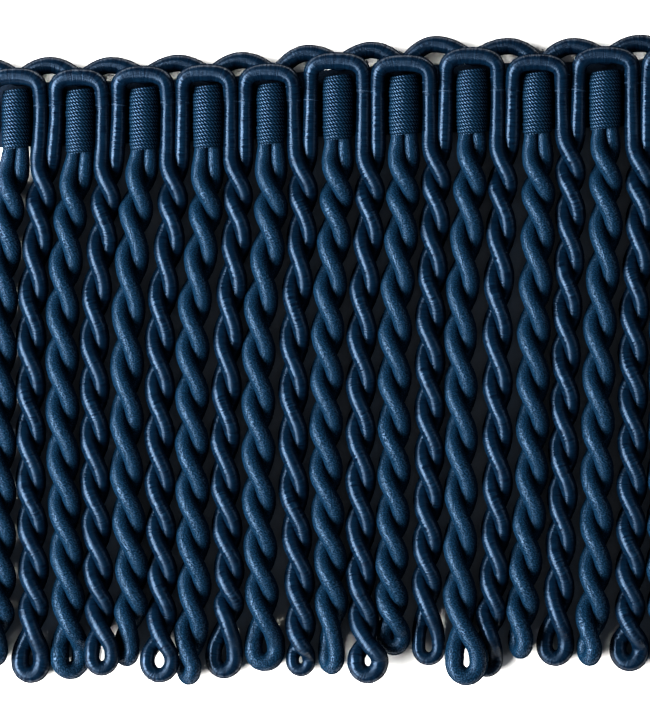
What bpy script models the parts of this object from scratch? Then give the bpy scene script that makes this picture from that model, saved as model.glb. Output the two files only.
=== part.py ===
"""Bullion fringe: a cut length of navy furnishing fringe, lying face up on a table.

Metres, +Z up. X runs along the heading, +Y points to the heading's scallops, and the back lies on Z = 0.
The origin is the middle of the heading tape's back face. A "drop" is a distance below that middle,
so a point's Y is minus its drop. The tables are in millimetres.
"""
import math
from collections import namedtuple

import bmesh
import bpy
from mathutils import Vector
from mathutils.geometry import delaunay_2d_cdt

for old in list(bpy.data.objects):
    bpy.data.objects.remove(old, do_unlink=True)

MM = 0.001

# Yarns. radius: of one round ply. thick, wide: half sizes of its four-sided section, across and around the
# bullion. twist: from the bullion's axis to a ply's middle. axis_z: height of the axis above the table.
Yarn = namedtuple("Yarn", "radius thick wide twist axis_z")
GIMP = Yarn(radius=1.70, thick=1.42, wide=1.55, twist=1.60, axis_z=3.45)
CREPE = Yarn(radius=1.95, thick=1.64, wide=1.75, twist=1.83, axis_z=3.95)
PLY_GAP = 0.34           # between the two plies of a bullion
RINGS = 3.4              # sections in each half turn of a ply
ARCH_RISE = 4.0          # height of an arch's rounded top, to the cord's middle
ARCH_SQUARE = 0.82       # 1 for half an ellipse, less for squarer shoulders
BAR_PLUMP = 0.16         # an arch's bar is this much thicker than its legs, because it is pressed flat
ARCH_OVER = 1.2          # the arch starts to come down to the tape this far below its top
LEGS_DOWN = 7.8          # and lies on it, ready to be twisted, this far below its top
LOOP_LENGTH = 1.15       # a loop's lower half: its height over half its width
ROOT_LEAD = 0.8          # least drop from a root to the ply's first turning section
LOOP_LEAD = 6.0          # a bullion starts to rise or sink to its loop this far above the closing crossing

# Heading.
LEAN = -0.034            # the heading climbs this much to the right
TAPE_EDGE = [            # x and drop of the tape's upper edge, which isn't quite straight
    (-85.5, -4.9), (-55.0, -5.2), (-25.0, -6.5), (6.0, -8.7), (38.0, -9.6), (86.0, -10.4),
]
TAPE_STEP = 13.2         # between the tape's sections, in x
TAPE_FOOT = 7.5          # drop of its lower edge at x = 0
TAPE_THICK = 1.0
COLLAR_Z = 4.20          # height of a collar's middle
COLLAR_DEEP = 2.88       # half its depth: it is pressed a little flat on the tape
COLLAR_SIDES = 12
COLLAR_SHAPE = [         # size at the rim of its rounded top, then where it is full, then towards its foot
    ("collar_top", 0.0, 0.88),
    ("collar_top", 0.7, 1.00),
    ("collar_foot", -0.6, 1.02),
    ("collar_foot", 0.0, 0.98),
]
COLLAR_ROOT = 1.42       # from a collar's axis to the middle of each ply at its foot
LEG_Z = 3.85
ARCH_Z = 6.80            # an arch's bar lies over the scallop cord
SCALLOP_Z = 2.95
TROUGH_UNDER = 0.7       # how far the scallop cord's lowest point is below the middle of an arch's bar
TROUGH_BLUNT = 0.9       # share of its depth at which the dip is cut off, so that it isn't a sharp corner
SCALLOP_PARTS = (0.35, 0.65, 0.88)      # sections from peak to dip, as shares of the way
CUT_END = 7.0            # drop at which the two outermost legs are cut off
SMOOTH_UP_TO = math.radians(35)

# One row for each repeat of the heading, from the left: x of the arch's two legs, the drop of its top,
# then the wound collar under it.
Repeat = namedtuple("Repeat", "left_leg right_leg arch_top collar_x collar_half collar_top collar_foot")
REPEATS = [
    Repeat(-82.8, -71.5, -8.2, -77.3, 3.3, -3.1, 10.8),
    Repeat(-67.8, -56.9, -8.0, -62.2, 3.3, -3.1, 11.8),
    Repeat(-53.1, -41.6, -8.7, -47.1, 3.4, -3.5, 11.1),
    Repeat(-38.0, -26.7, -9.0, -32.1, 3.4, -4.0, 10.6),
    Repeat(-23.2, -11.9, -9.2, -17.2, 3.3, -4.5, 9.7),
    Repeat(-7.8, 4.6, -11.8, -1.4, 3.5, -6.4, 8.7),
    Repeat(7.9, 20.2, -11.3, 14.2, 3.5, -6.4, 7.5),
    Repeat(24.0, 36.2, -13.0, 30.2, 3.6, -7.8, 7.3),
    Repeat(39.8, 51.3, -11.5, 45.6, 3.4, -7.1, 7.3),
    Repeat(55.3, 67.8, -13.2, 61.6, 3.7, -7.5, 6.1),
    Repeat(71.6, 83.4, -13.4, 77.5, 3.5, -8.0, 5.9),
]

# Peaks of the scallop cord, one above each gap between two arches.
Peak = namedtuple("Peak", "x top")
PEAKS = [
    Peak(-84.1, -10.6), Peak(-69.3, -10.8), Peak(-54.9, -10.8), Peak(-39.1, -11.3),
    Peak(-24.0, -12.0), Peak(-8.5, -13.7), Peak(6.6, -14.4), Peak(21.4, -15.8),
    Peak(39.1, -15.3), Peak(54.0, -15.3), Peak(69.8, -16.0), Peak(85.3, -15.8),
]

# One row for each bullion, from the left. x25 to x115: where its axis is at the AXIS_DROPS. first, last: drops
# of the first and last full crossing, with this many half turns between them. close: the crossing that closes
# the loop. Then the loop: its middle, lowest point, half width outside and in its hole, how far it is turned
# from facing up, in degrees, and the height of its middle.
Bullion = namedtuple("Bullion", "x25 x55 x85 x115 first last turns close loop_x foot out hole turned loop_z")
AXIS_DROPS = (25, 55, 85, 115)
GIMP_BULLIONS = [
    Bullion(-71.6, -73.8, -73.9, -73.1, 27.1, 114.6, 8, 123.5, -73.9, 136.9, 4.7, 0.5, 0, 2.6),
    Bullion(-56.3, -58.9, -58.8, -57.8, 27.6, 114.8, 8, 123.5, -56.9, 134.8, 4.2, 0.6, -10, 7.1),
    Bullion(-40.5, -43.4, -43.5, -42.8, 27.3, 116.0, 8, 125.4, -43.4, 136.5, 4.7, 1.1, 0, 6.0),
    Bullion(-25.1, -27.3, -28.1, -27.0, 26.4, 114.6, 8, 122.1, -28.3, 135.8, 4.5, 0.6, 0, 2.6),
    Bullion(-9.7, -11.7, -12.0, -10.4, 25.7, 118.1, 8, 127.3, -10.2, 135.3, 3.5, 0.4, 0, 2.6),
    Bullion(6.0, 4.2, 3.9, 4.0, 25.9, 116.4, 8, 126.6, 5.6, 136.7, 4.9, 0.7, 0, 6.2),
    Bullion(21.5, 20.3, 20.1, 19.5, 23.1, 108.9, 8, 118.3, 20.0, 132.7, 4.0, 0.8, 0, 2.6),
    Bullion(37.2, 36.2, 36.2, 35.2, 24.0, 116.4, 8, 124.7, 33.7, 135.5, 3.9, 0.5, 10, 1.8),
    Bullion(53.4, 52.4, 51.7, 50.7, 21.0, 109.4, 8, 120.4, 49.9, 132.9, 4.5, 0.6, 0, 2.6),
    Bullion(70.0, 68.2, 68.0, 67.5, 22.9, 114.8, 9, 123.5, 67.4, 134.1, 4.8, 0.6, 0, 2.6),
]
CREPE_BULLIONS = [
    Bullion(-79.3, -81.1, -81.2, -81.3, 29.7, 116.7, 8, 124.7, -82.3, 132.9, 3.9, 0.1, 50, 3.6),
    Bullion(-64.4, -66.5, -66.2, -65.1, 31.6, 111.5, 7, 122.3, -64.6, 136.0, 4.7, 0.4, -20, 2.3),
    Bullion(-49.0, -51.0, -51.3, -49.9, 30.2, 114.8, 7, 123.5, -51.3, 132.9, 3.9, 0.1, 50, 3.6),
    Bullion(-32.6, -35.7, -35.8, -35.3, 30.2, 119.0, 8, 130.1, -36.6, 137.2, 4.2, 0.3, 60, 4.0),
    Bullion(-17.2, -20.1, -20.2, -19.4, 29.7, 110.3, 7, 120.7, -18.7, 134.1, 4.9, 0.5, 0, 2.6),
    Bullion(-1.9, -3.9, -4.3, -3.0, 26.9, 112.9, 8, 123.3, -3.0, 134.8, 4.1, 0.2, 56, 3.7),
    Bullion(13.8, 12.0, 11.8, 11.1, 26.2, 112.4, 8, 121.1, 11.8, 130.3, 4.1, 0.2, 20, 2.2),
    Bullion(29.4, 27.4, 27.6, 27.3, 25.0, 110.1, 7, 123.0, 28.8, 137.2, 5.1, 0.6, 0, 6.2),
    Bullion(45.8, 44.7, 44.3, 42.3, 26.2, 113.8, 8, 123.5, 41.6, 131.0, 4.2, 0.3, 65, 4.1),
    Bullion(61.7, 60.2, 59.7, 59.1, 23.6, 115.3, 8, 125.6, 57.8, 132.7, 4.2, 0.3, 65, 4.1),
    Bullion(77.2, 75.7, 75.4, 75.2, 24.7, 114.3, 8, 123.3, 76.4, 132.2, 4.2, 0.3, 30, 3.4),
]

# Finishes: sRGB colour and roughness.
Finish = namedtuple("Finish", "name colour roughness")
SATIN = Finish("satin_gimp_navy", (36, 66, 97), 0.42)
MATTE = Finish("crepe_yarn_navy", (33, 60, 88), 0.85)
WOVEN = Finish("woven_tape_navy", (22, 38, 56), 0.90)

# Where a bullion's two plies start: drop, x and height of the point midway, and half the way between them.
Root = namedtuple("Root", "drop x z half")
# A section of a cord: its middle, and its half sizes as arrows away from the bullion's axis and around it.
Section = namedtuple("Section", "middle out side")


def curve(knots, level_ends=True):
    """A smooth curve through (place, value) knots that never swings past them."""
    places = [place for place, value in knots]
    values = [value for place, value in knots]
    slopes = [(values[i + 1] - values[i]) / (places[i + 1] - places[i]) for i in range(len(knots) - 1)]
    inner = [0.0 if a * b <= 0 else 2 * a * b / (a + b) for a, b in zip(slopes, slopes[1:])]
    ends = (0.0, 0.0) if level_ends else (slopes[0], slopes[-1])
    tangents = [ends[0]] + inner + [ends[1]]

    def value_at(place):
        place = min(max(place, places[0]), places[-1])
        i = 0
        while i < len(slopes) - 1 and place > places[i + 1]:
            i += 1
        span = places[i + 1] - places[i]
        t = (place - places[i]) / span
        start = (1 + 2 * t) * (1 - t) ** 2 * values[i] + t * (1 - t) ** 2 * span * tangents[i]
        finish = t * t * (3 - 2 * t) * values[i + 1] + t * t * (t - 1) * span * tangents[i + 1]
        return start + finish

    return value_at


def bullion_sections(row, yarn, root):
    """Sections down one ply, round the loop, and up the other ply.

    The first ply is at the left at turn 0 and in front at turn 0.5, and the second is opposite it.
    """
    step = (row.last - row.first) / row.turns
    start = max(row.first - 1.5 * step, root.drop + ROOT_LEAD)
    reach = (row.out + row.hole) / 2
    swell = (row.out - row.hole) / 2 / yarn.radius
    foot = row.foot - swell * yarn.radius
    widest = foot - LOOP_LENGTH * reach
    closed = row.turns + 2.5
    ended = row.turns + 3 - row.turned / 180
    drop_at = curve([(0, start), (1.5, row.first), (closed - 1, row.last), (closed, row.close), (ended, widest)],
                    level_ends=False)
    x_at = curve([(root.drop, root.x)] + list(zip(AXIS_DROPS, (row.x25, row.x55, row.x85, row.x115)))
                 + [(widest, row.loop_x)])
    z_at = curve([(root.drop, root.z), (start + step, yarn.axis_z), (row.close - LOOP_LEAD, yarn.axis_z),
                  (widest, row.loop_z)])
    apart_at = curve([(root.drop, root.half), (start + step / 2, yarn.twist), (row.close, yarn.twist),
                      (widest, reach)])
    swell_at = curve([(row.close, 1.0), (widest, swell)])

    count = math.ceil(closed * RINGS)
    places = [(root.drop, 0.0)] + [(drop_at(closed * i / count), closed * i / count) for i in range(count + 1)]
    for part in (0.5, 1.0):
        turn = closed + (ended - closed) * part
        places.append((row.close + (widest - row.close) * part, turn))

    down = []
    back = []
    for drop, turn in places:
        angle = math.pi * (1 - turn)
        out = Vector((math.cos(angle), 0, math.sin(angle)))
        apart = apart_at(drop)
        size = min(swell_at(drop), (apart - PLY_GAP / 2) / yarn.thick)
        side = Vector((-math.sin(angle), 0, math.cos(angle))) * yarn.wide * size
        thick = yarn.thick * size
        resting = (apart + thick) * abs(math.sin(angle)) + yarn.wide * size * abs(math.cos(angle))
        axis = Vector((x_at(drop), -drop, max(z_at(drop), resting)))
        down.append(Section(axis + out * apart, out * thick, side))
        back.append(Section(axis - out * apart, -out * thick, side))
    for lift in (30, 60, 90):
        c = math.cos(math.radians(lift))
        s = math.sin(math.radians(lift))
        axis = Vector((row.loop_x, -(widest + (foot - widest) * s), axis.z))
        fall = Vector((0, -s, 0))
        down.append(Section(axis + out * reach * c, (out * c + fall) * thick, side))
        back.append(Section(axis - out * reach * c, (-out * c + fall) * thick, side))
    return down + back[-2::-1]


def arch_sections(repeat, left_end=None, right_end=None):
    """Sections of the gimp over one collar, from its left leg to its right leg, or to a plain cut end."""
    top = repeat.arch_top + GIMP.radius
    half = (repeat.right_leg - repeat.left_leg) / 2
    z_at = curve([(top, ARCH_Z), (top + ARCH_OVER, ARCH_Z), (top + LEGS_DOWN, LEG_Z)])
    side = Vector((0, 0, -GIMP.wide))
    right = Vector((GIMP.thick, 0, 0))
    sections = []
    for lift in range(0, 181, 30):
        c = math.cos(math.radians(lift))
        s = math.sin(math.radians(lift))
        across = half * math.copysign(abs(c) ** ARCH_SQUARE, c)
        drop = top + ARCH_RISE * (1 - s ** ARCH_SQUARE)
        thick = GIMP.thick * (1 + BAR_PLUMP * s)
        inner = Vector((c / half, -s / ARCH_RISE, 0)).normalized()
        middle = Vector((repeat.left_leg + half - across, GIMP.thick - thick - drop, z_at(drop)))
        sections.append(Section(middle, inner * thick, side))
    down = top + LEGS_DOWN
    if left_end is not None:
        leg = [Vector((repeat.left_leg, -drop, LEG_Z)) for drop in (left_end, down)]
        sections = [Section(middle, right, side) for middle in leg] + sections
    if right_end is not None:
        leg = [Vector((repeat.right_leg, -drop, LEG_Z)) for drop in (down, right_end)]
        sections += [Section(middle, -right, side) for middle in leg]
    return sections


def gimp_root(left, right):
    """The root between the right leg of one arch and the left leg of the next."""
    half = (right.left_leg - left.right_leg) / 2
    drop = max(left.arch_top, right.arch_top) + GIMP.radius + LEGS_DOWN
    return Root(drop, left.right_leg + half, LEG_Z, half)


def scallop_sections():
    """Sections along the back cord, which dips behind each arch."""
    sections = []
    for left, right, repeat in zip(PEAKS, PEAKS[1:], REPEATS):
        trough = repeat.arch_top + GIMP.radius + TROUGH_UNDER
        half = (right.x - left.x) / 2
        rising = [-part for part in (1.0,) + SCALLOP_PARTS[::-1]]
        for peak, parts in ((left, (0.0,) + SCALLOP_PARTS), (right, rising)):
            depth = trough - peak.top - GIMP.radius
            for part in parts:
                drop = peak.top + GIMP.radius + depth * min(part * part, TROUGH_BLUNT)
                slope = 0 if part * part > TROUGH_BLUNT else 2 * depth * part / half
                up = Vector((slope, 1, 0)).normalized()
                middle = Vector((peak.x + part * half, -drop, SCALLOP_Z))
                sections.append(Section(middle, up * GIMP.thick, Vector((0, 0, GIMP.wide))))
    last = PEAKS[-1]
    middle = Vector((last.x, -last.top - GIMP.radius, SCALLOP_Z))
    sections.append(Section(middle, Vector((0, GIMP.thick, 0)), Vector((0, 0, GIMP.wide))))
    return sections


def add_ring(bm, section):
    """The four corners of a section, with the second and third on its inner face."""
    corners = [(1, 1), (-1, 1), (-1, -1), (1, -1)]
    return [bm.verts.new((section.middle + section.out * a + section.side * b) * MM) for a, b in corners]


def add_skin(bm, rings):
    """Two triangles on each side between rings. The inner face is creased inwards, the other three outwards."""
    for near, far in zip(rings, rings[1:]):
        middle = sum((v.co for v in near + far), Vector()) / 8
        for i in range(4):
            a, b, c, d = near[i], near[(i + 1) % 4], far[(i + 1) % 4], far[i]
            fuller = ((a.co + c.co) / 2 - middle).length > ((b.co + d.co) / 2 - middle).length
            if fuller == (i != 1):
                bm.faces.new((a, b, c))
                bm.faces.new((a, c, d))
            else:
                bm.faces.new((a, b, d))
                bm.faces.new((b, c, d))


def add_foot(bm, rim, plies):
    """The collar's flat foot: triangles between its rim and the plies that grow out of it."""
    corners = list(rim)
    borders = []
    for outline in (rim,) + plies:
        start = len(corners) if outline is not rim else 0
        if outline is not rim:
            corners += outline
        borders += [(start + i, start + (i + 1) % len(outline)) for i in range(len(outline))]
    flat = [Vector((vert.co.x, vert.co.z)) / MM for vert in corners]
    points, edges, faces, sources, _, _ = delaunay_2d_cdt(flat, borders, [], 0, 1e-6)
    for face in faces:
        verts = [corners[sources[i][0]] for i in face]
        if not any(all(vert in ply for vert in verts) for ply in plies):
            bm.faces.new(verts)


def material_of(finish):
    """The finish's material, made once. Its colour is turned from sRGB to linear."""
    material = bpy.data.materials.get(finish.name)
    if material is None:
        material = bpy.data.materials.new(finish.name)
        material.use_nodes = True
        shader = material.node_tree.nodes["Principled BSDF"]
        linear = [((c / 255 + 0.055) / 1.055) ** 2.4 for c in finish.colour]
        shader.inputs["Base Color"].default_value = linear + [1.0]
        shader.inputs["Roughness"].default_value = finish.roughness
        shader.inputs["Metallic"].default_value = 0.0
    return material


def finish_node(bm, name, finish):
    bmesh.ops.triangulate(bm, faces=[f for f in bm.faces if len(f.verts) > 3])
    bmesh.ops.recalc_face_normals(bm, faces=bm.faces)
    mesh = bpy.data.meshes.new(name)
    bm.to_mesh(mesh)
    bm.free()
    mesh.shade_smooth()
    mesh.set_sharp_from_angle(angle=SMOOTH_UP_TO)
    mesh.materials.append(material_of(finish))
    bpy.context.scene.collection.objects.link(bpy.data.objects.new(name, mesh))


def cord_node(name, sections, finish):
    """A cord with four sides and two plain cut ends."""
    bm = bmesh.new()
    rings = [add_ring(bm, section) for section in sections]
    add_skin(bm, rings)
    bm.faces.new(rings[0])
    bm.faces.new(rings[-1])
    finish_node(bm, name, finish)


def crepe_node(name, repeat, row):
    """A wound collar with a twisted pair of plies growing out of its foot, in one solid."""
    bm = bmesh.new()
    collar = []
    for end, below, size in COLLAR_SHAPE:
        drop = getattr(repeat, end) + below
        ring = []
        for i in range(COLLAR_SIDES):
            angle = 2 * math.pi * (i + 0.5) / COLLAR_SIDES
            x = repeat.collar_x + repeat.collar_half * size * math.cos(angle)
            z = COLLAR_Z + COLLAR_DEEP * size * math.sin(angle)
            ring.append(bm.verts.new(Vector((x, -drop, z)) * MM))
        collar.append(ring)
    for upper, lower in zip(collar, collar[1:]):
        for i in range(COLLAR_SIDES):
            j = (i + 1) % COLLAR_SIDES
            bm.faces.new((upper[i], upper[j], lower[j], lower[i]))
    bm.faces.new(collar[0])

    root = Root(repeat.collar_foot, repeat.collar_x, COLLAR_Z, COLLAR_ROOT)
    rings = [add_ring(bm, section) for section in bullion_sections(row, CREPE, root)]
    add_skin(bm, rings)
    add_foot(bm, collar[-1], (rings[0], rings[-1]))
    finish_node(bm, name, MATTE)


def tape_node(name):
    """The woven strip behind the heading, a little uneven along both edges."""
    bm = bmesh.new()
    upper_edge = curve(TAPE_EDGE, level_ends=False)
    left, right = TAPE_EDGE[0][0], TAPE_EDGE[-1][0]
    count = round((right - left) / TAPE_STEP)
    rows = []
    for i in range(count + 1):
        x = left + (right - left) * i / count
        top, foot = upper_edge(x), TAPE_FOOT + LEAN * x
        rows.append([bm.verts.new(Vector((x, -drop, z)) * MM)
                     for drop, z in ((top, 0), (foot, 0), (foot, TAPE_THICK), (top, TAPE_THICK))])
    for near, far in zip(rows, rows[1:]):
        for i in range(4):
            bm.faces.new((near[i], near[(i + 1) % 4], far[(i + 1) % 4], far[i]))
    bm.faces.new(rows[0])
    bm.faces.new(rows[-1])
    finish_node(bm, name, WOVEN)


# Backing: a narrow tape, flat on the table.
tape_node("heading_tape")

# Gimp: one cord, over each arch and down and up each bullion between two arches.
gimp = arch_sections(REPEATS[0], left_end=CUT_END)
for left, right, row in zip(REPEATS, REPEATS[1:], GIMP_BULLIONS):
    gimp += bullion_sections(row, GIMP, gimp_root(left, right))
    gimp += arch_sections(right, right_end=CUT_END if right is REPEATS[-1] else None)
cord_node("gimp_cord", gimp, SATIN)

# Back cord: scallops that rise between the arches.
cord_node("scallop_cord", scallop_sections(), SATIN)

# Crepe bullions: a wound collar and a twisted pair each, like a long tassel with one looped strand.
for number, (repeat, row) in enumerate(zip(REPEATS, CREPE_BULLIONS), 1):
    crepe_node("crepe_bullion_%02d" % number, repeat, row)
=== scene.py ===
"""Navy bullion fringe, lying face up on white card.

Lengths in the tables are millimetres. X runs along the heading and +Y points to its scallops.
A "drop" is a distance below the middle of the heading tape, so a point's Y is minus its drop.
"""
from collections import namedtuple

import bpy
import numpy as np
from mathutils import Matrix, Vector


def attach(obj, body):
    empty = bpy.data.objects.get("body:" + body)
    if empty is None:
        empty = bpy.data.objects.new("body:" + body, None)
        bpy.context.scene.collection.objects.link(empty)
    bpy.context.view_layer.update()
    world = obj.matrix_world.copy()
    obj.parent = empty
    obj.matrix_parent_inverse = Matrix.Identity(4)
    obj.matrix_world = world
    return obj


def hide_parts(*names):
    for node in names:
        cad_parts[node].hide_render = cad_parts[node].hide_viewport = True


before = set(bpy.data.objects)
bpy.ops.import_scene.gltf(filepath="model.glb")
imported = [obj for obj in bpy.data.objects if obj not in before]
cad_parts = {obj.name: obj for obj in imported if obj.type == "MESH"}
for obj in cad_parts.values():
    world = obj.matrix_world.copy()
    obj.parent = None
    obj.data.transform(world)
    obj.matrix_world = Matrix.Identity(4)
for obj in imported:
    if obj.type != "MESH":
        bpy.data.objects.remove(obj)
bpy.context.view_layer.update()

# Table and studio. The fringe lies on a sheet of white card. One soft box stands low at the left and a weak
# one as low at the right. The camera looks straight down from nearly a metre, as for a catalogue picture.
MM = 0.001
PICTURE_MIDDLE = Vector((-4.48, -60.8, 4.0)) * MM
PICTURE_HEIGHT = 170.2 * MM    # what the picture takes in, from its top to its foot
CAMERA_DISTANCE = 0.9
SENSOR = 36.0            # side of the camera's sensor, which its focal length is worked out from
CARD_REACH = 1500        # from the card's middle to its edges
CARD_Z = -0.1            # the card's face is just under the fringe

# Each light's name, direction from the fringe, distance and size in metres, power in watts, and colour.
Light = namedtuple("Light", "name towards distance size power colour")
LIGHTS = [
    Light("soft_box_left", (-0.84, -0.10, 0.54), 0.9, (1.10, 0.52), 98.0, "#FFFDFA"),
    Light("reflector_right", (0.84, 0.05, 0.54), 0.9, (0.50, 0.50), 2.0, "#F4F8FF"),
]


def linear(hex_colour):
    """An sRGB hex colour as the linear colour that Blender's sockets take."""
    parts = [int(hex_colour[i:i + 2], 16) / 255 for i in (1, 3, 5)]
    return [c / 12.92 if c <= 0.04045 else ((c + 0.055) / 1.055) ** 2.4 for c in parts] + [1.0]


def add_node(tree, kind, inputs=None, **settings):
    """Add a node with its settings. Each input gets a value, or a link if it is given a socket."""
    node = tree.nodes.new(kind)
    for name, value in settings.items():
        setattr(node, name, value)
    for key, value in (inputs or {}).items():
        if isinstance(value, bpy.types.NodeSocket):
            tree.links.new(value, node.inputs[key])
        else:
            node.inputs[key].default_value = value
    return node


def new_material(name):
    """A node material with nothing in it but its output."""
    material = bpy.data.materials.new(name)
    material.use_nodes = True
    tree = material.node_tree
    tree.nodes.remove(tree.nodes["Principled BSDF"])
    return material, tree, tree.nodes["Material Output"].inputs["Surface"]


def new_piece(name, points, faces, material):
    """A smooth mesh object from points in millimetres."""
    mesh = bpy.data.meshes.new(name)
    mesh.from_pydata(np.asarray(points) * MM, [], faces)
    mesh.polygons.foreach_set("use_smooth", [True] * len(mesh.polygons))
    mesh.materials.append(material)
    piece = bpy.data.objects.new(name, mesh)
    bpy.context.scene.collection.objects.link(piece)
    return piece


def card_material():
    """Uncoated white card, calendered: a dull white with a faint tooth."""
    material, tree, surface = new_material("calendered_white_card")
    tooth = add_node(tree, "ShaderNodeTexNoise", {"Scale": 1 / (0.8 * MM), "Detail": 2.0})
    bump = add_node(tree, "ShaderNodeBump", {"Height": tooth.outputs["Fac"], "Strength": 0.1,
                                             "Distance": 0.02 * MM})
    shader = add_node(tree, "ShaderNodeBsdfPrincipled", {
        "Base Color": linear("#F5F5F4"), "Roughness": 0.9, "Normal": bump.outputs["Normal"]})
    tree.links.new(shader.outputs["BSDF"], surface)
    return material


card_corners = [(x * CARD_REACH, y * CARD_REACH, CARD_Z) for x, y in ((-1, -1), (1, -1), (1, 1), (-1, 1))]
new_piece("white_card", card_corners, [(0, 1, 2, 3)], card_material())

for light in LIGHTS:
    lamp = bpy.data.lights.new(light.name, "AREA")
    lamp.shape = "RECTANGLE"
    lamp.size, lamp.size_y = light.size
    lamp.energy = light.power
    lamp.color = linear(light.colour)[:3]
    stand = bpy.data.objects.new(light.name, lamp)
    towards = Vector(light.towards).normalized()
    stand.location = PICTURE_MIDDLE + towards * light.distance
    stand.rotation_euler = towards.to_track_quat("Z", "Y").to_euler()
    bpy.context.scene.collection.objects.link(stand)

world = bpy.data.worlds.new("dim_studio")
world.use_nodes = True
world.node_tree.nodes["Background"].inputs["Color"].default_value = linear("#D6E3F6")
world.node_tree.nodes["Background"].inputs["Strength"].default_value = 0.04
bpy.context.scene.world = world
bpy.context.scene.view_settings.view_transform = "Standard"

camera = bpy.data.objects.new("camera", bpy.data.cameras.new("camera"))
camera.data.sensor_width = SENSOR
camera.data.lens = SENSOR * CAMERA_DISTANCE / PICTURE_HEIGHT
camera.location = PICTURE_MIDDLE + Vector((0, 0, CAMERA_DISTANCE))
bpy.context.scene.collection.objects.link(camera)
bpy.context.scene.camera = camera

# Heading tape. A narrow cotton tape in plain weave, dyed navy, to which all the cords are sewn. It shows
# at the foot of the small holes between scallops and arches, at its two ends and on the back.
TAPE_EDGE = [            # x and drop of its upper edge, which isn't quite straight
    (-85.5, -4.9), (-55.0, -5.2), (-25.0, -6.5), (6.0, -8.7), (38.0, -9.6), (86.0, -10.4),
]
TAPE_FOOT = 7.5          # drop of its lower edge at x = 0
LEAN = -0.034            # drop for each millimetre to the right, where the heading climbs
EDGE_WANDER = 0.06       # how far its edges swing from side to side
UPPER_SWING = 1.1        # and how fast, in radians a millimetre
LOWER_SWING = 1.3
TAPE_THICK = 1.0
TAPE_WIDE = 15.3         # how wide and long it is when flat
TAPE_LONG = 171.5
TAPE_THREAD = 0.55       # width of one thread of the weave
THREAD_RISE = 0.05       # how far each thread stands up where it passes over another


def curve(knots):
    """A smooth curve through (place, value) knots that never swings past them and is level at both ends."""
    places, values = np.array(knots, float).T
    slopes = np.diff(values) / np.diff(places)
    before, after = slopes[:-1], slopes[1:]
    same_way = before * after > 0
    inner = np.where(same_way, 2 * before * after / np.where(same_way, before + after, 1), 0)
    tangents = np.concatenate([[0], inner, [0]])

    def value_at(place):
        place = np.clip(place, places[0], places[-1])
        i = np.clip(np.searchsorted(places, place, side="right") - 1, 0, len(slopes) - 1)
        span = places[i + 1] - places[i]
        t = (place - places[i]) / span
        start = (1 + 2 * t) * (1 - t) ** 2 * values[i] + t * (1 - t) ** 2 * span * tangents[i]
        return start + t * t * (3 - 2 * t) * values[i + 1] + t * t * (t - 1) * span * tangents[i + 1]

    return value_at


def tape_material():
    """Woven cotton, piece dyed: dull, its warp and weft over each other in turn like a chessboard."""
    material, tree, surface = new_material("woven_cotton_tape")
    place = add_node(tree, "ShaderNodeTexCoord").outputs["Object"]
    weave = add_node(tree, "ShaderNodeTexChecker", {
        "Vector": place, "Scale": 1 / (TAPE_THREAD * MM),
        "Color1": linear("#030D19"), "Color2": linear("#04111F")})
    fluff = add_node(tree, "ShaderNodeTexNoise", {"Vector": place, "Scale": 1 / (0.3 * MM), "Detail": 3.0})
    height = add_node(tree, "ShaderNodeMath", {0: weave.outputs["Fac"], 1: fluff.outputs["Fac"]},
                      operation="ADD")
    bump = add_node(tree, "ShaderNodeBump", {"Height": height.outputs[0], "Strength": 0.7,
                                             "Distance": 0.10 * MM})
    shader = add_node(tree, "ShaderNodeBsdfPrincipled", {
        "Base Color": weave.outputs["Color"], "Roughness": 0.85, "Specular IOR Level": 0.08,
        "Normal": bump.outputs["Normal"]})
    tree.links.new(shader.outputs["BSDF"], surface)
    return material


def tape_points():
    """Two layers of points, back then front, in rows across the tape, with the weave raised in them."""
    columns = round(TAPE_LONG / TAPE_THREAD)
    rows = round(TAPE_WIDE / TAPE_THREAD)
    x = np.linspace(TAPE_EDGE[0][0], TAPE_EDGE[-1][0], columns + 1)[:, None]
    share = np.linspace(0, 1, rows + 1)[None, :]
    top = curve(TAPE_EDGE)(x) + EDGE_WANDER * np.sin(UPPER_SWING * x)
    foot = TAPE_FOOT + LEAN * x + EDGE_WANDER * np.sin(LOWER_SWING * x)
    drop = top + (foot - top) * share
    over = THREAD_RISE * (-1.0) ** np.add.outer(np.arange(columns + 1), np.arange(rows + 1))
    wide = np.broadcast_to(x, drop.shape)
    layers = [np.dstack([wide, -drop, level + over]) for level in (THREAD_RISE, TAPE_THICK - THREAD_RISE)]
    return np.concatenate([layer.reshape(-1, 3) for layer in layers]), columns, rows


def tape_faces(columns, rows):
    """The back, the front and a border that joins them."""
    def at(layer, i, j):
        return (layer * (columns + 1) + i) * (rows + 1) + j
    faces = []
    for i in range(columns):
        for j in range(rows):
            faces.append((at(0, i, j), at(0, i + 1, j), at(0, i + 1, j + 1), at(0, i, j + 1)))
            faces.append((at(1, i, j), at(1, i, j + 1), at(1, i + 1, j + 1), at(1, i + 1, j)))
    rim = [(i, 0) for i in range(columns)] + [(columns, j) for j in range(rows)]
    rim += [(i, rows) for i in range(columns, 0, -1)] + [(0, j) for j in range(rows, 0, -1)]
    for near, far in zip(rim, rim[1:] + rim[:1]):
        faces.append((at(0, *near), at(1, *near), at(1, *far), at(0, *far)))
    return faces


points, columns, rows = tape_points()
tape = new_piece("heading_tape_woven", points, tape_faces(columns, rows), tape_material())
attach(tape, "root")
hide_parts("heading_tape")

# Gimp cord. A soft cotton core wound closely with fine rayon floss, so it shines like satin. One length
# goes over each collar as an arch, down one ply of a bullion, round its loop and up the other ply.

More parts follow.
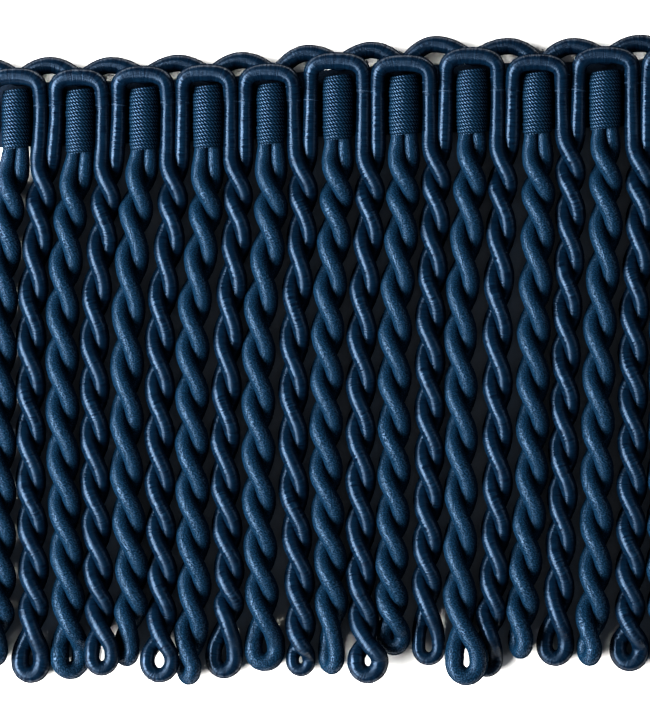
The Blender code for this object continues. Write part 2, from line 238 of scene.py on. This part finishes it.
# A cord's radius, then its two plies when twisted: how far they are from the bullion's axis, how high this
# axis is, and how much thicker they are than the cord, because they are slack and press on each other.
Yarn = namedtuple("Yarn", "radius twist axis_z plump")
GIMP = Yarn(radius=1.70, twist=1.68, axis_z=3.65, plump=1.16)
GIMP_STEP = 0.5          # between two rings of points round it
GIMP_SIDES = 14          # points in a ring
GIMP_GRAIN = (0.012, 0.006)    # how uneven it is, slowly along it and from point to point
GRAIN_RINGS = 17         # the slow unevenness of a cord is spread over this many rings
GRAIN_DAMPING = 3        # and divided by this, so that the rings' shares don't add up to too much
ROUTE_STEP = 0.4         # between the points of a cord's route
LEG_PLUMP = 1.04         # thickness of an arch's legs, as a share of the cord's, because they are slack
BAR_PLUMP = 0.13         # how much more of it the arch's bar has, because it is pressed flat
ARCH_RISE = 4.0          # height of an arch's rounded top, to the cord's middle
ARCH_SQUARE = 0.76       # 1 for half an ellipse, less for squarer shoulders
ARCH_TURN = 2            # degrees between two points of it
ARCH_Z = 6.80            # how high the middle of its bar is over the table
ARCH_OVER = 1.2          # the arch starts to come down to the tape this far below its top
LEGS_DOWN = 7.8          # and its legs are down, ready to be twisted, this far below its top
LEG_Z = 3.85             # how high their middle is
CUT_END = 7.0            # drop of the cord's two cut ends
CUT_ANGLE = 60           # a cord's edges are sharp from this many degrees, as round its cut ends
ROOT_LEAD = 0.8          # two plies go straight down from their root at least this far
LEAD_TURNS = 1.5         # half turns from there to their first full crossing
SWELL_LENGTH = 8         # they reach their full thickness this far below their root
LOOP_LEAD = 6            # the bullion leaves its height for its loop's this far above the closing crossing
LOOP_LENGTH = 1.15       # a loop's lower half: its height over half its width
LOOP_TURN = 6            # degrees between two points of it

# One row for each repeat of the heading, from the left: x of the arch's two legs and the drop of its top.
# Then the wound collar under it: x of its middle, half its width, and the drops of its top and its foot.
Repeat = namedtuple("Repeat", "left_leg right_leg arch_top collar_x collar_half collar_top collar_foot")
REPEATS = [
    Repeat(-82.8, -71.5, -8.2, -77.3, 3.3, -3.1, 10.8),
    Repeat(-67.8, -56.9, -8.0, -62.2, 3.3, -3.1, 11.8),
    Repeat(-53.1, -41.6, -8.7, -47.1, 3.4, -3.5, 11.1),
    Repeat(-38.0, -26.7, -9.0, -32.1, 3.4, -4.0, 10.6),
    Repeat(-23.2, -11.9, -9.2, -17.2, 3.3, -4.5, 9.7),
    Repeat(-7.8, 4.6, -11.8, -1.4, 3.5, -6.4, 8.7),
    Repeat(7.9, 20.2, -11.3, 14.2, 3.5, -6.4, 7.5),
    Repeat(24.0, 36.2, -13.0, 30.2, 3.6, -7.8, 7.3),
    Repeat(39.8, 51.3, -11.5, 45.6, 3.4, -7.1, 7.3),
    Repeat(55.3, 67.8, -13.2, 61.6, 3.7, -7.5, 6.1),
    Repeat(71.6, 83.4, -13.4, 77.5, 3.5, -8.0, 5.9),
]

# One row for each gimp bullion, from the left. x25 to x115: where its axis is at the AXIS_DROPS. first and
# last: drops of the first and last full crossing, with this many half turns between them. close: drop of the
# crossing that closes the loop. Then the loop: x of its middle, drop of its lowest point, half its width
# outside and in its hole, how far it is turned from facing up, in degrees, and the height of its middle.
Bullion = namedtuple("Bullion", "x25 x55 x85 x115 first last turns close loop_x foot out hole turned loop_z")
AXIS_DROPS = (25, 55, 85, 115)
GIMP_BULLIONS = [
    Bullion(-71.6, -73.8, -73.9, -73.1, 27.1, 114.6, 8, 123.5, -73.9, 136.9, 4.7, 0.5, 0, 2.6),
    Bullion(-56.3, -58.9, -58.8, -57.8, 27.6, 114.8, 8, 123.5, -56.9, 134.8, 4.2, 0.6, -10, 7.1),
    Bullion(-40.5, -43.4, -43.5, -42.8, 27.3, 116.0, 8, 125.4, -43.4, 136.5, 4.7, 1.1, 0, 6.0),
    Bullion(-25.1, -27.3, -28.1, -27.0, 26.4, 114.6, 8, 122.1, -28.3, 135.8, 4.5, 0.6, 0, 2.6),
    Bullion(-9.7, -11.7, -12.0, -10.4, 25.7, 118.1, 8, 127.3, -10.2, 135.3, 3.5, 0.4, 0, 2.6),
    Bullion(6.0, 4.2, 3.9, 4.0, 25.9, 116.4, 8, 126.6, 5.6, 136.7, 4.9, 0.7, 0, 6.2),
    Bullion(21.5, 20.3, 20.1, 19.5, 23.1, 108.9, 8, 118.3, 20.0, 132.7, 4.0, 0.8, 0, 2.6),
    Bullion(37.2, 36.2, 36.2, 35.2, 24.0, 116.4, 8, 124.7, 33.7, 135.5, 3.9, 0.5, 10, 1.8),
    Bullion(53.4, 52.4, 51.7, 50.7, 21.0, 109.4, 8, 120.4, 49.9, 132.9, 4.5, 0.6, 0, 2.6),
    Bullion(70.0, 68.2, 68.0, 67.5, 22.9, 114.8, 9, 123.5, 67.4, 134.1, 4.8, 0.6, 0, 2.6),
]

# Where a bullion's two plies start: drop, x and height of the point midway, and half the way between them.
Root = namedtuple("Root", "drop x z half")


def unit(vectors):
    """The same arrows, each with a length of one."""
    return vectors / np.linalg.norm(vectors, axis=-1, keepdims=True)


def route_of(points, outward, radius, inner):
    """Rows of a cord's route: place, arrow to its outer side, radius, and reach of its inner side."""
    count = len(points)
    return np.column_stack([points, np.broadcast_to(outward, (count, 3)),
                            np.broadcast_to(radius, count), np.broadcast_to(inner, count)])


def bullion_route(row, yarn, root, pinch=LEG_PLUMP):
    """Down one ply, round the loop and up the other. Pinch is how thick they are at the root, as a share."""
    step = (row.last - row.first) / row.turns
    start = max(row.first - LEAD_TURNS * step, root.drop + ROOT_LEAD)
    reach = (row.out + row.hole) / 2
    swell = (row.out - row.hole) / 2 / yarn.radius
    foot = row.foot - swell * yarn.radius
    widest = foot - LOOP_LENGTH * reach
    closed = LEAD_TURNS + row.turns + 1
    ended = closed + 0.5 - row.turned / 180
    turn_at = curve([(start, 0), (row.first, LEAD_TURNS), (row.last, closed - 1), (row.close, closed),
                     (widest, ended)])
    x_at = curve([(root.drop, root.x)] + list(zip(AXIS_DROPS, (row.x25, row.x55, row.x85, row.x115)))
                 + [(widest, row.loop_x)])
    z_at = curve([(root.drop, root.z), (start + step, yarn.axis_z), (row.close - LOOP_LEAD, yarn.axis_z),
                  (widest, row.loop_z)])
    apart_at = curve([(root.drop, root.half), (start + step / 2, yarn.twist), (row.close, yarn.twist),
                      (widest, reach)])
    size_at = curve([(root.drop, pinch), (root.drop + SWELL_LENGTH, yarn.plump), (row.close, yarn.plump),
                     (widest, swell)])

    drop = np.arange(root.drop, widest, ROUTE_STEP)
    angle = np.pi * (1 - turn_at(drop))
    out = np.column_stack([np.cos(angle), 0 * angle, np.sin(angle)])
    apart = apart_at(drop)
    radius = yarn.radius * size_at(drop)
    height = np.maximum(z_at(drop), apart * abs(out[:, 2]) + radius)
    axis = np.column_stack([x_at(drop), -drop, height])
    down = route_of(axis + out * apart[:, None], out, radius, apart)
    back = route_of(axis - out * apart[:, None], -out, radius, apart)

    turn = np.radians(np.arange(LOOP_TURN, 180, LOOP_TURN))[:, None]
    middle = np.array([row.loop_x, -widest, height[-1]])
    fall = np.array([0, -1, 0])
    around = out[-1] * np.cos(turn) + fall * np.sin(turn)
    loop = middle + out[-1] * reach * np.cos(turn) + fall * (foot - widest) * np.sin(turn)
    return np.vstack([down, route_of(loop, around, radius[-1], reach), back[::-1]])


def height_of(repeat):
    """The curve of an arch's height by its drop: up over the collar, then down to the tape."""
    top = repeat.arch_top + GIMP.radius
    return curve([(top, ARCH_Z), (top + ARCH_OVER, ARCH_Z), (top + LEGS_DOWN, LEG_Z)])


def arch_route(repeat, left_foot, right_foot):
    """The gimp over one collar, from the foot of its left leg to the foot of its right leg."""
    top = repeat.arch_top + GIMP.radius
    half = (repeat.right_leg - repeat.left_leg) / 2
    lift = np.radians(np.arange(ARCH_TURN / 2, 180, ARCH_TURN))
    rise = np.arange(left_foot, top + ARCH_RISE, -ROUTE_STEP)
    fall = np.arange(top + ARCH_RISE, right_foot, ROUTE_STEP)[1:]
    across = half * np.sign(np.cos(lift)) * np.abs(np.cos(lift)) ** ARCH_SQUARE
    x = np.concatenate([0 * rise + repeat.left_leg, repeat.left_leg + half - across,
                        0 * fall + repeat.right_leg])
    drop = np.concatenate([rise, top + ARCH_RISE * (1 - np.sin(lift) ** ARCH_SQUARE), fall])
    inner = np.concatenate([0 * rise, lift, 0 * fall + np.pi])
    out = unit(np.column_stack([np.cos(inner) / half, -np.sin(inner) / ARCH_RISE, 0 * inner]))
    radius = GIMP.radius * (LEG_PLUMP + BAR_PLUMP * np.sin(inner))
    middle = np.column_stack([x, GIMP.radius - radius - drop, height_of(repeat)(drop)])
    return route_of(middle, out, radius, radius)


def even_steps(route, step):
    """The same route with its rows evenly spaced, and how far along the cord each one is."""
    gone = np.concatenate([[0], np.cumsum(np.linalg.norm(np.diff(route[:, :3], axis=0), axis=1))])
    along = np.linspace(0, gone[-1], round(gone[-1] / step) + 1)
    return np.column_stack([np.interp(along, gone, column) for column in route.T]), along


def cord_piece(name, route, step, sides, material, grain, seed):
    """A round cord with two plain cut ends, flat where it presses on its other ply.

    The grain makes it uneven, by these shares of its radius: slowly along it, and from point to point.
    Its map runs along the cord in millimetres, then around it.
    """
    route, along = even_steps(route, step)
    count = len(route)
    draw = np.random.default_rng(seed)
    spread = np.hanning(GRAIN_RINGS) / GRAIN_DAMPING
    slow = np.convolve(draw.normal(size=count + GRAIN_RINGS - 1), spread, mode="valid")
    tangent = unit(np.gradient(route[:, :3], axis=0))
    side = unit(np.cross(tangent, route[:, 3:6]))
    out = np.cross(side, tangent)
    angle = 2 * np.pi * np.arange(sides) / sides
    radius = route[:, 6, None] * (1 + grain[0] * slow[:, None] + grain[1] * draw.normal(size=(count, sides)))
    across = np.maximum(radius * np.cos(angle), -route[:, 7, None])
    ring = out[:, None] * across[..., None] + side[:, None] * (radius * np.sin(angle))[..., None]
    points = (route[:, None, :3] + ring).reshape(-1, 3)
    points[:, 2] = np.maximum(points[:, 2], 0.0)

    near = np.arange(sides)
    far = (near + 1) % sides
    base = sides * np.arange(count - 1)[:, None]
    quads = np.dstack([base + near, base + far, base + sides + far, base + sides + near]).reshape(-1, 4)
    last = sides * (count - 1)
    ends = [near[::-1].tolist(), (last + near).tolist()]
    piece = new_piece(name, points, quads.tolist() + ends, material)

    around = 2 * np.pi * route[:, 6].mean() / sides * np.arange(sides + 1)
    start = along[:-1, None] + 0 * near
    end = along[1:, None] + 0 * near
    u = np.dstack([start, start, end, end])
    v = np.broadcast_to(np.dstack([around[:-1], around[1:], around[1:], around[:-1]]), u.shape)
    flat = np.concatenate([np.dstack([u.reshape(-1), v.reshape(-1)])[0], np.zeros((2 * sides, 2))])
    piece.data.uv_layers.new(name="winding").data.foreach_set("uv", flat.reshape(-1).astype(np.float32))
    piece.data.set_sharp_from_angle(angle=np.radians(CUT_ANGLE))
    return piece


def matt_rim(tree, gloss):
    """A cord's gloss, fading to none at its rim, where loose fibres stand up and take the shine away."""
    facing = add_node(tree, "ShaderNodeLayerWeight").outputs["Facing"]
    share = add_node(tree, "ShaderNodeMapRange", {"Value": facing, "From Min": 0.28, "From Max": 0.55,
                                                  "To Min": 1.0, "To Max": 0.0})
    kept = add_node(tree, "ShaderNodeMath", {0: gloss, 1: share.outputs["Result"]}, operation="MULTIPLY")
    return kept.outputs[0]


def satin_material():
    """Rayon floss, closely wound: each thread lies round the cord, so the shine is a thin line along it.

    A thread is really 0.2 mm wide. It is drawn half as wide again, or it wouldn't show at this distance.
    """
    threads = 1 / 0.30       # to a millimetre of the cord
    flecks = 0.30            # to a millimetre of a thread
    material, tree, surface = new_material("rayon_floss_winding")
    place = add_node(tree, "ShaderNodeUVMap", uv_map="winding").outputs["UV"]
    drawn_out = add_node(tree, "ShaderNodeVectorMath", {0: place, 1: (threads, flecks, 1.0)},
                         operation="MULTIPLY")
    strand = add_node(tree, "ShaderNodeTexNoise", {"Vector": drawn_out.outputs[0], "Scale": 1.0,
                                                   "Detail": 2.0})
    colour = add_node(tree, "ShaderNodeValToRGB", {"Fac": strand.outputs["Fac"]})
    colour.color_ramp.elements[0].position = 0.35
    colour.color_ramp.elements[0].color = linear("#01050F")
    colour.color_ramp.elements[1].position = 0.65
    colour.color_ramp.elements[1].color = linear("#03111F")

    # Each thread is a little askew, so its glint sits to one side of its neighbour's.
    along = add_node(tree, "ShaderNodeTangent", direction_type="UV_MAP", uv_map="winding").outputs["Tangent"]
    upright = add_node(tree, "ShaderNodeNewGeometry").outputs["Normal"]
    around = add_node(tree, "ShaderNodeVectorMath", {0: upright, 1: along}, operation="CROSS_PRODUCT")
    askew = add_node(tree, "ShaderNodeMapRange", {"Value": strand.outputs["Fac"], "To Min": -0.20,
                                                  "To Max": 0.20})
    tilt = add_node(tree, "ShaderNodeVectorMath", {0: around.outputs[0], "Scale": askew.outputs["Result"]},
                    operation="SCALE")
    tilted = add_node(tree, "ShaderNodeVectorMath", {0: upright, 1: tilt.outputs[0]}, operation="ADD")
    normal = add_node(tree, "ShaderNodeVectorMath", {0: tilted.outputs[0]}, operation="NORMALIZE")
    bump = add_node(tree, "ShaderNodeBump", {"Height": strand.outputs["Fac"], "Strength": 1.0,
                                             "Distance": 0.14 * MM, "Normal": normal.outputs[0]})
    shine = add_node(tree, "ShaderNodeMapRange", {"Value": strand.outputs["Fac"], "From Min": 0.35,
                                                  "From Max": 0.65, "To Min": 0.11, "To Max": 0.25})
    shader = add_node(tree, "ShaderNodeBsdfPrincipled", {
        "Base Color": colour.outputs["Color"], "Roughness": 0.28, "IOR": 1.53,
        "Specular IOR Level": matt_rim(tree, shine.outputs["Result"]), "Specular Tint": linear("#A4CEFF"),
        "Anisotropic": 0.95, "Tangent": along, "Normal": bump.outputs["Normal"]})
    tree.links.new(shader.outputs["BSDF"], surface)
    return material


def gimp_root(left, right):
    """The root between the right leg of one arch and the left leg of the next."""
    half = (right.left_leg - left.right_leg) / 2
    drop = max(left.arch_top, right.arch_top) + GIMP.radius + LEGS_DOWN
    return Root(drop, left.right_leg + half, LEG_Z, half)


roots = [gimp_root(left, right) for left, right in zip(REPEATS, REPEATS[1:])]
leg_feet = [CUT_END] + [root.drop for root in roots] + [CUT_END]
stretches = []
for number, repeat in enumerate(REPEATS):
    stretches.append(arch_route(repeat, leg_feet[number], leg_feet[number + 1])[:-1])
    if number < len(roots):
        stretches.append(bullion_route(GIMP_BULLIONS[number], GIMP, roots[number])[:-1])
satin = satin_material()
gimp = cord_piece("gimp_cord_wound", np.vstack(stretches), GIMP_STEP, GIMP_SIDES, satin, GIMP_GRAIN, seed=1)
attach(gimp, "root")
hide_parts("gimp_cord")

# Scallop cord. The same gimp, laid along the tape's upper edge behind the arches. It rises as a scallop
# above the gap between each two arches and dips behind each bar.
SCALLOP_Z = 2.95         # how high its middle is over the table
SCALLOP_PLUMP = 1.18     # its thickness, as a share of the gimp's, because it is slack
TROUGH_UNDER = 1.2       # a dip goes this far below an arch's top, and the gimp's radius, until it is rounded
HALF_POINTS = 13         # to half a scallop
ROUNDINGS = 5            # times that each point is drawn towards its neighbours, to round the dips

# Peaks of the scallop cord, one above each gap between two arches and one at each end.
Peak = namedtuple("Peak", "x top")
PEAKS = [
    Peak(-84.1, -10.6), Peak(-69.3, -10.8), Peak(-54.9, -10.8), Peak(-39.1, -11.3),
    Peak(-24.0, -12.0), Peak(-8.5, -13.7), Peak(6.6, -14.4), Peak(21.4, -15.8),
    Peak(39.1, -15.3), Peak(54.0, -15.3), Peak(69.8, -16.0), Peak(85.3, -15.8),
]


def scallop_route():
    """Parabolas that meet behind each arch in a narrow, rounded dip."""
    places = []
    for left, right, repeat in zip(PEAKS, PEAKS[1:], REPEATS):
        trough = repeat.arch_top + GIMP.radius + TROUGH_UNDER
        half = (right.x - left.x) / 2
        down = np.linspace(0, 1, HALF_POINTS)
        up = np.linspace(-1, 0, HALF_POINTS)[1:-1]
        for peak, part in ((left, down), (right, up)):
            height = peak.top + GIMP.radius
            places.append(np.column_stack([peak.x + part * half, -(height + (trough - height) * part ** 2)]))
    x, y = np.vstack(places).T
    for _ in range(ROUNDINGS):
        y = np.convolve(np.pad(y, 1, mode="edge"), (0.25, 0.5, 0.25), mode="valid")
    radius = SCALLOP_PLUMP * GIMP.radius
    return route_of(np.column_stack([x, y, 0 * x + SCALLOP_Z]), (0, 0, 1), radius, radius)


scallop = cord_piece("scallop_cord_wound", scallop_route(), GIMP_STEP, GIMP_SIDES, satin, GIMP_GRAIN, seed=2)
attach(scallop, "root")
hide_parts("scallop_cord")

# Crepe bullions, one under each arch. Two plies of dull, crinkled crepe yarn, wound over a core and twisted
# together like the gimp ones. A collar binds their tops: 16 to 18 turns of a two-ply yarn.
CREPE = Yarn(radius=1.95, twist=1.92, axis_z=4.00, plump=1.08)
CREPE_STEP = 0.42
CREPE_SIDES = 20
CREPE_GRAIN = (0.02, 0.012)
ROOT_INSIDE = 1.2        # the plies start this far above the collar's foot
ROOT_HALF = 1.42         # half the way between them there
ROOT_PINCH = 0.82        # and their thickness there, as a share
COLLAR_Z = 4.20          # how high the middle of a collar is over the table
COLLAR_DEEP = 2.88       # and from there to its face
COLLAR_TILT = 0.10       # how much higher its right side is, as a share of its width
COLLAR_ANGLE = 75        # its edges are sharp from this many degrees, as round its two ends
COLLAR_COLUMNS = 40      # points round it
COLLAR_TURN = 0.85       # from one turn of its winding to the next
ROWS_A_TURN = 8
TURN_RISE = 0.09         # half the height from the groove between two turns to the ridge of a turn
TURN_UNEVEN = 0.05       # how unevenly the turns stand out
END_DRAW = 0.35          # how far the turns at its two ends are drawn in
END_FADE = 1.2           # how quickly this fades, turn by turn
CREPE_BULLIONS = [
    Bullion(-79.3, -81.1, -81.2, -81.3, 29.7, 116.7, 8, 124.7, -82.3, 132.9, 3.9, 0.1, 50, 3.6),
    Bullion(-64.4, -66.5, -66.2, -65.1, 31.6, 111.5, 7, 122.3, -64.6, 136.0, 4.7, 0.4, -20, 2.3),
    Bullion(-49.0, -51.0, -51.3, -49.9, 30.2, 114.8, 7, 123.5, -51.3, 132.9, 3.9, 0.1, 50, 3.6),
    Bullion(-32.6, -35.7, -35.8, -35.3, 30.2, 119.0, 8, 130.1, -36.6, 137.2, 4.2, 0.3, 60, 4.0),
    Bullion(-17.2, -20.1, -20.2, -19.4, 29.7, 110.3, 7, 120.7, -18.7, 134.1, 4.9, 0.5, 0, 2.6),
    Bullion(-1.9, -3.9, -4.3, -3.0, 26.9, 112.9, 8, 123.3, -3.0, 134.8, 4.1, 0.2, 56, 3.7),
    Bullion(13.8, 12.0, 11.8, 11.1, 26.2, 112.4, 8, 121.1, 11.8, 130.3, 4.1, 0.2, 20, 2.2),
    Bullion(29.4, 27.4, 27.6, 27.3, 25.0, 110.1, 7, 123.0, 28.8, 137.2, 5.1, 0.6, 0, 6.2),
    Bullion(45.8, 44.7, 44.3, 42.3, 26.2, 113.8, 8, 123.5, 41.6, 131.0, 4.2, 0.3, 65, 4.1),
    Bullion(61.7, 60.2, 59.7, 59.1, 23.6, 115.3, 8, 125.6, 57.8, 132.7, 4.2, 0.3, 65, 4.1),
    Bullion(77.2, 75.7, 75.4, 75.2, 24.7, 114.3, 8, 123.3, 76.4, 132.2, 4.2, 0.3, 30, 3.4),
]


def crepe_material(name, turn, ply, slant, wander, relief, lint, gloss):
    """Crepe rayon, two-ply and wound: each slanting ply of a turn glints, with shade painted dark into the
    groove beside it.

    Lint is the share of loose, crinkled fibre that hides this pattern. The turn and the ply are widths in
    millimetres. The bullions' are drawn about twice as wide as they are, or they wouldn't show at this
    distance.
    """
    material, tree, surface = new_material(name)
    place = add_node(tree, "ShaderNodeUVMap", uv_map="winding").outputs["UV"]
    loose = add_node(tree, "ShaderNodeTexNoise", {"Vector": place, "Scale": 0.9, "Detail": 1.0})
    shift = add_node(tree, "ShaderNodeVectorMath", {0: loose.outputs["Color"], 1: (wander, wander, 0)},
                     operation="MULTIPLY")
    moved = add_node(tree, "ShaderNodeVectorMath", {0: place, 1: shift.outputs[0]}, operation="ADD")
    parts = add_node(tree, "ShaderNodeSeparateXYZ", {0: moved.outputs[0]})
    turns = add_node(tree, "ShaderNodeMath", {0: parts.outputs["X"], 1: turn}, operation="DIVIDE")
    within = add_node(tree, "ShaderNodeMath", {0: turns.outputs[0]}, operation="FRACT")
    number = add_node(tree, "ShaderNodeMath", {0: turns.outputs[0]}, operation="FLOOR")
    start = add_node(tree, "ShaderNodeTexWhiteNoise", {"W": number.outputs[0]}, noise_dimensions="1D")
    plies = add_node(tree, "ShaderNodeMath", {0: parts.outputs["Y"], 1: ply}, operation="DIVIDE")
    leaned = add_node(tree, "ShaderNodeMath", {0: within.outputs[0], 1: slant, 2: plies.outputs[0]},
                      operation="MULTIPLY_ADD")
    phase = add_node(tree, "ShaderNodeMath", {0: leaned.outputs[0], 1: start.outputs["Value"]},
                     operation="ADD")
    ply_wave = add_node(tree, "ShaderNodeMath", {0: phase.outputs[0], 1: 0.5}, operation="PINGPONG")
    turn_wave = add_node(tree, "ShaderNodeMath", {0: turns.outputs[0], 1: 0.5}, operation="PINGPONG")
    slash = add_node(tree, "ShaderNodeMapRange", {"Value": ply_wave.outputs[0], "From Min": 0.16,
                                                  "From Max": 0.42})
    groove = add_node(tree, "ShaderNodeMapRange", {"Value": turn_wave.outputs[0], "From Min": 0.02,
                                                   "From Max": 0.22})
    weave = add_node(tree, "ShaderNodeMath", {0: slash.outputs[0], 1: groove.outputs[0]},
                     operation="MULTIPLY")
    fuzz = add_node(tree, "ShaderNodeTexNoise", {"Vector": place, "Scale": 2.9, "Detail": 2.0})
    grain = add_node(tree, "ShaderNodeMapRange", {"Value": fuzz.outputs["Fac"], "From Min": 0.3,
                                                  "From Max": 0.7})
    height = add_node(tree, "ShaderNodeMix", {"Factor": lint, "A": weave.outputs[0], "B": grain.outputs[0]})
    bump = add_node(tree, "ShaderNodeBump", {"Height": height.outputs[0], "Strength": 1.0,
                                             "Distance": relief * MM})
    # Painted shade: the colour darkens where the pattern is low, so the grooves between turns and plies are
    # painted dark and the raised plies lighter. The loose fibre's share of the pattern is a random tone.
    colour = add_node(tree, "ShaderNodeValToRGB", {"Fac": height.outputs[0]})
    colour.color_ramp.elements[0].position = 0.15
    colour.color_ramp.elements[0].color = linear("#020912")
    colour.color_ramp.elements[1].position = 0.85
    colour.color_ramp.elements[1].color = linear("#061B2D")
    shine = add_node(tree, "ShaderNodeMapRange", {"Value": height.outputs[0], "From Min": 0.4,
                                                  "From Max": 0.85, "To Max": gloss})
    along = add_node(tree, "ShaderNodeTangent", direction_type="UV_MAP", uv_map="winding").outputs["Tangent"]
    shader = add_node(tree, "ShaderNodeBsdfPrincipled", {
        "Base Color": colour.outputs["Color"], "Roughness": 0.36, "IOR": 1.53,
        "Specular IOR Level": matt_rim(tree, shine.outputs["Result"]), "Specular Tint": linear("#A4CEFF"),
        "Anisotropic": 0.7, "Tangent": along, "Normal": bump.outputs["Normal"]})
    tree.links.new(shader.outputs["BSDF"], surface)
    return material


def collar_piece(name, repeat, material, seed):
    """A wound collar: an oval sleeve with each turn of its yarn raised, closed at both ends."""
    draw = np.random.default_rng(seed)
    turns = round((repeat.collar_foot - repeat.collar_top) / COLLAR_TURN)
    wound = np.linspace(0, turns, turns * ROWS_A_TURN + 1)[:, None]
    part = np.linspace(0, 1, COLLAR_COLUMNS + 1)[None, :]
    angle = 2 * np.pi * part
    ridge = TURN_RISE * (2 * np.abs(np.sin(np.pi * (wound + part))) - 1)
    loose = TURN_UNEVEN * draw.normal(size=turns + 2)[np.floor(wound + part).astype(int)]
    ends = END_DRAW * (np.exp(-wound * END_FADE) + np.exp((wound - turns) * END_FADE))
    spread = ridge + loose - ends
    drop = repeat.collar_top + wound / turns * (repeat.collar_foot - repeat.collar_top) + 0 * part
    drop = drop - COLLAR_TILT * repeat.collar_half * np.cos(angle)
    points = np.dstack([repeat.collar_x + (repeat.collar_half + spread) * np.cos(angle), -drop,
                        COLLAR_Z + (COLLAR_DEEP + spread) * np.sin(angle)])
    rows = len(wound)
    columns = COLLAR_COLUMNS
    grid = points[:, :columns].reshape(-1, 3)
    faces = []
    for i in range(rows - 1):
        for j in range(columns):
            k = (j + 1) % columns
            faces.append((i * columns + j, i * columns + k, (i + 1) * columns + k, (i + 1) * columns + j))
    faces.append(tuple(range(columns))[::-1])
    faces.append(tuple((rows - 1) * columns + j for j in range(columns)))
    piece = new_piece(name, grid, faces, material)
    girth = 2 * np.pi * repeat.collar_half * part
    u = (wound + part) * COLLAR_TURN
    flat = []
    for i in range(rows - 1):
        for j in range(columns):
            flat += [(u[i, j], girth[0, j]), (u[i, j + 1], girth[0, j + 1]),
                     (u[i + 1, j + 1], girth[0, j + 1]), (u[i + 1, j], girth[0, j])]
    flat += [(0, 0)] * (2 * columns)
    piece.data.uv_layers.new(name="winding").data.foreach_set("uv", np.array(flat, np.float32).reshape(-1))
    piece.data.set_sharp_from_angle(angle=np.radians(COLLAR_ANGLE))
    return piece


ply_crepe = crepe_material("crepe_rayon_ply", turn=0.60, ply=0.70, slant=0.9, wander=0.5, relief=0.05,
                           lint=0.85, gloss=0.46)
collar_crepe = crepe_material("crepe_rayon_collar", turn=COLLAR_TURN, ply=0.80, slant=1.15, wander=0.06,
                              relief=0.08, lint=0.12, gloss=0.7)
for number, (repeat, row) in enumerate(zip(REPEATS, CREPE_BULLIONS), 1):
    root = Root(repeat.collar_foot - ROOT_INSIDE, repeat.collar_x, COLLAR_Z, ROOT_HALF)
    route = bullion_route(row, CREPE, root, pinch=ROOT_PINCH)
    plies = cord_piece("crepe_plies_%02d" % number, route, CREPE_STEP, CREPE_SIDES, ply_crepe, CREPE_GRAIN,
                       seed=10 + number)
    collar = collar_piece("wound_collar_%02d" % number, repeat, collar_crepe, seed=30 + number)
    for piece in (plies, collar):
        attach(piece, "root")
        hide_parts("crepe_bullion_%02d" % number)

# Binding threads. Fine navy sewing thread ties the gimp's legs down to the tape, a stitch here and there on
# one leg of each gap, mostly the left one.
THREAD_RADIUS = 0.08
THREAD_OVER = 0.2        # how far its middle is over the cord's face, as a share of its radius
THREAD_STEP = 0.4
THREAD_SIDES = 6
STITCH_TURN = 15         # degrees between two points of a stitch, as it goes round the leg
STITCH_UNDER = 30        # it goes on this far below the leg's middle, in degrees, before it turns down
STITCH_WANDER = 0.7      # how unevenly the stitches are sewn, up or down
STITCH_LEAN = 0.3        # how far a stitch goes up or down at most, from the leg's middle to its side
STITCH_CLEAR = 1         # the lowest one stays this far above the bullion's root

# The stitches in each gap: -1 for the leg at its left or 1 for the one at its right, and the stitch's drop.
Stitch = namedtuple("Stitch", "leg drop")
STITCHES = [Stitch(-1, -4.6), Stitch(-1, 2.3), Stitch(1, -0.8), Stitch(-1, 6.4)]


def stitch_route(x, drop, height, lean):
    """Over one leg and down to the tape on both sides of it, a little aslant."""
    lift = np.radians(np.arange(-STITCH_UNDER, 181 + STITCH_UNDER, STITCH_TURN))
    across = LEG_PLUMP * GIMP.radius + THREAD_RADIUS * THREAD_OVER
    over = np.column_stack([x - across * np.cos(lift), lean * np.cos(lift) - drop,
                            height + across * np.sin(lift)])
    ends = [(point[0], point[1], TAPE_THICK) for point in (over[0], over[-1])]
    return route_of(np.vstack([ends[:1], over, ends[1:]]), (0, 1, 0), THREAD_RADIUS, THREAD_RADIUS)


def thread_material():
    """Mercerised cotton thread, dyed to match the cords: a fine line with a soft gloss."""
    material, tree, surface = new_material("mercerised_cotton_thread")
    shader = add_node(tree, "ShaderNodeBsdfPrincipled", {
        "Base Color": linear("#14293E"), "Roughness": 0.5, "Specular IOR Level": 0.3})
    tree.links.new(shader.outputs["BSDF"], surface)
    return material


thread = thread_material()
draw = np.random.default_rng(4)
for number, root in enumerate(roots, 1):
    for line, place in enumerate(STITCHES, 1):
        drop = place.drop + LEAN * root.x + STITCH_WANDER * draw.uniform(-1, 1)
        drop = min(drop, root.drop - STITCH_CLEAR)
        height = height_of(REPEATS[number - 1] if place.leg < 0 else REPEATS[number])(drop)
        route = stitch_route(root.x + place.leg * root.half, drop, height, STITCH_LEAN * draw.uniform(-1, 1))
        name = "binding_thread_%02d_%d" % (number, line)
        stitch = cord_piece(name, route, THREAD_STEP, THREAD_SIDES, thread, (0, 0), seed=0)
        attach(stitch, "root")
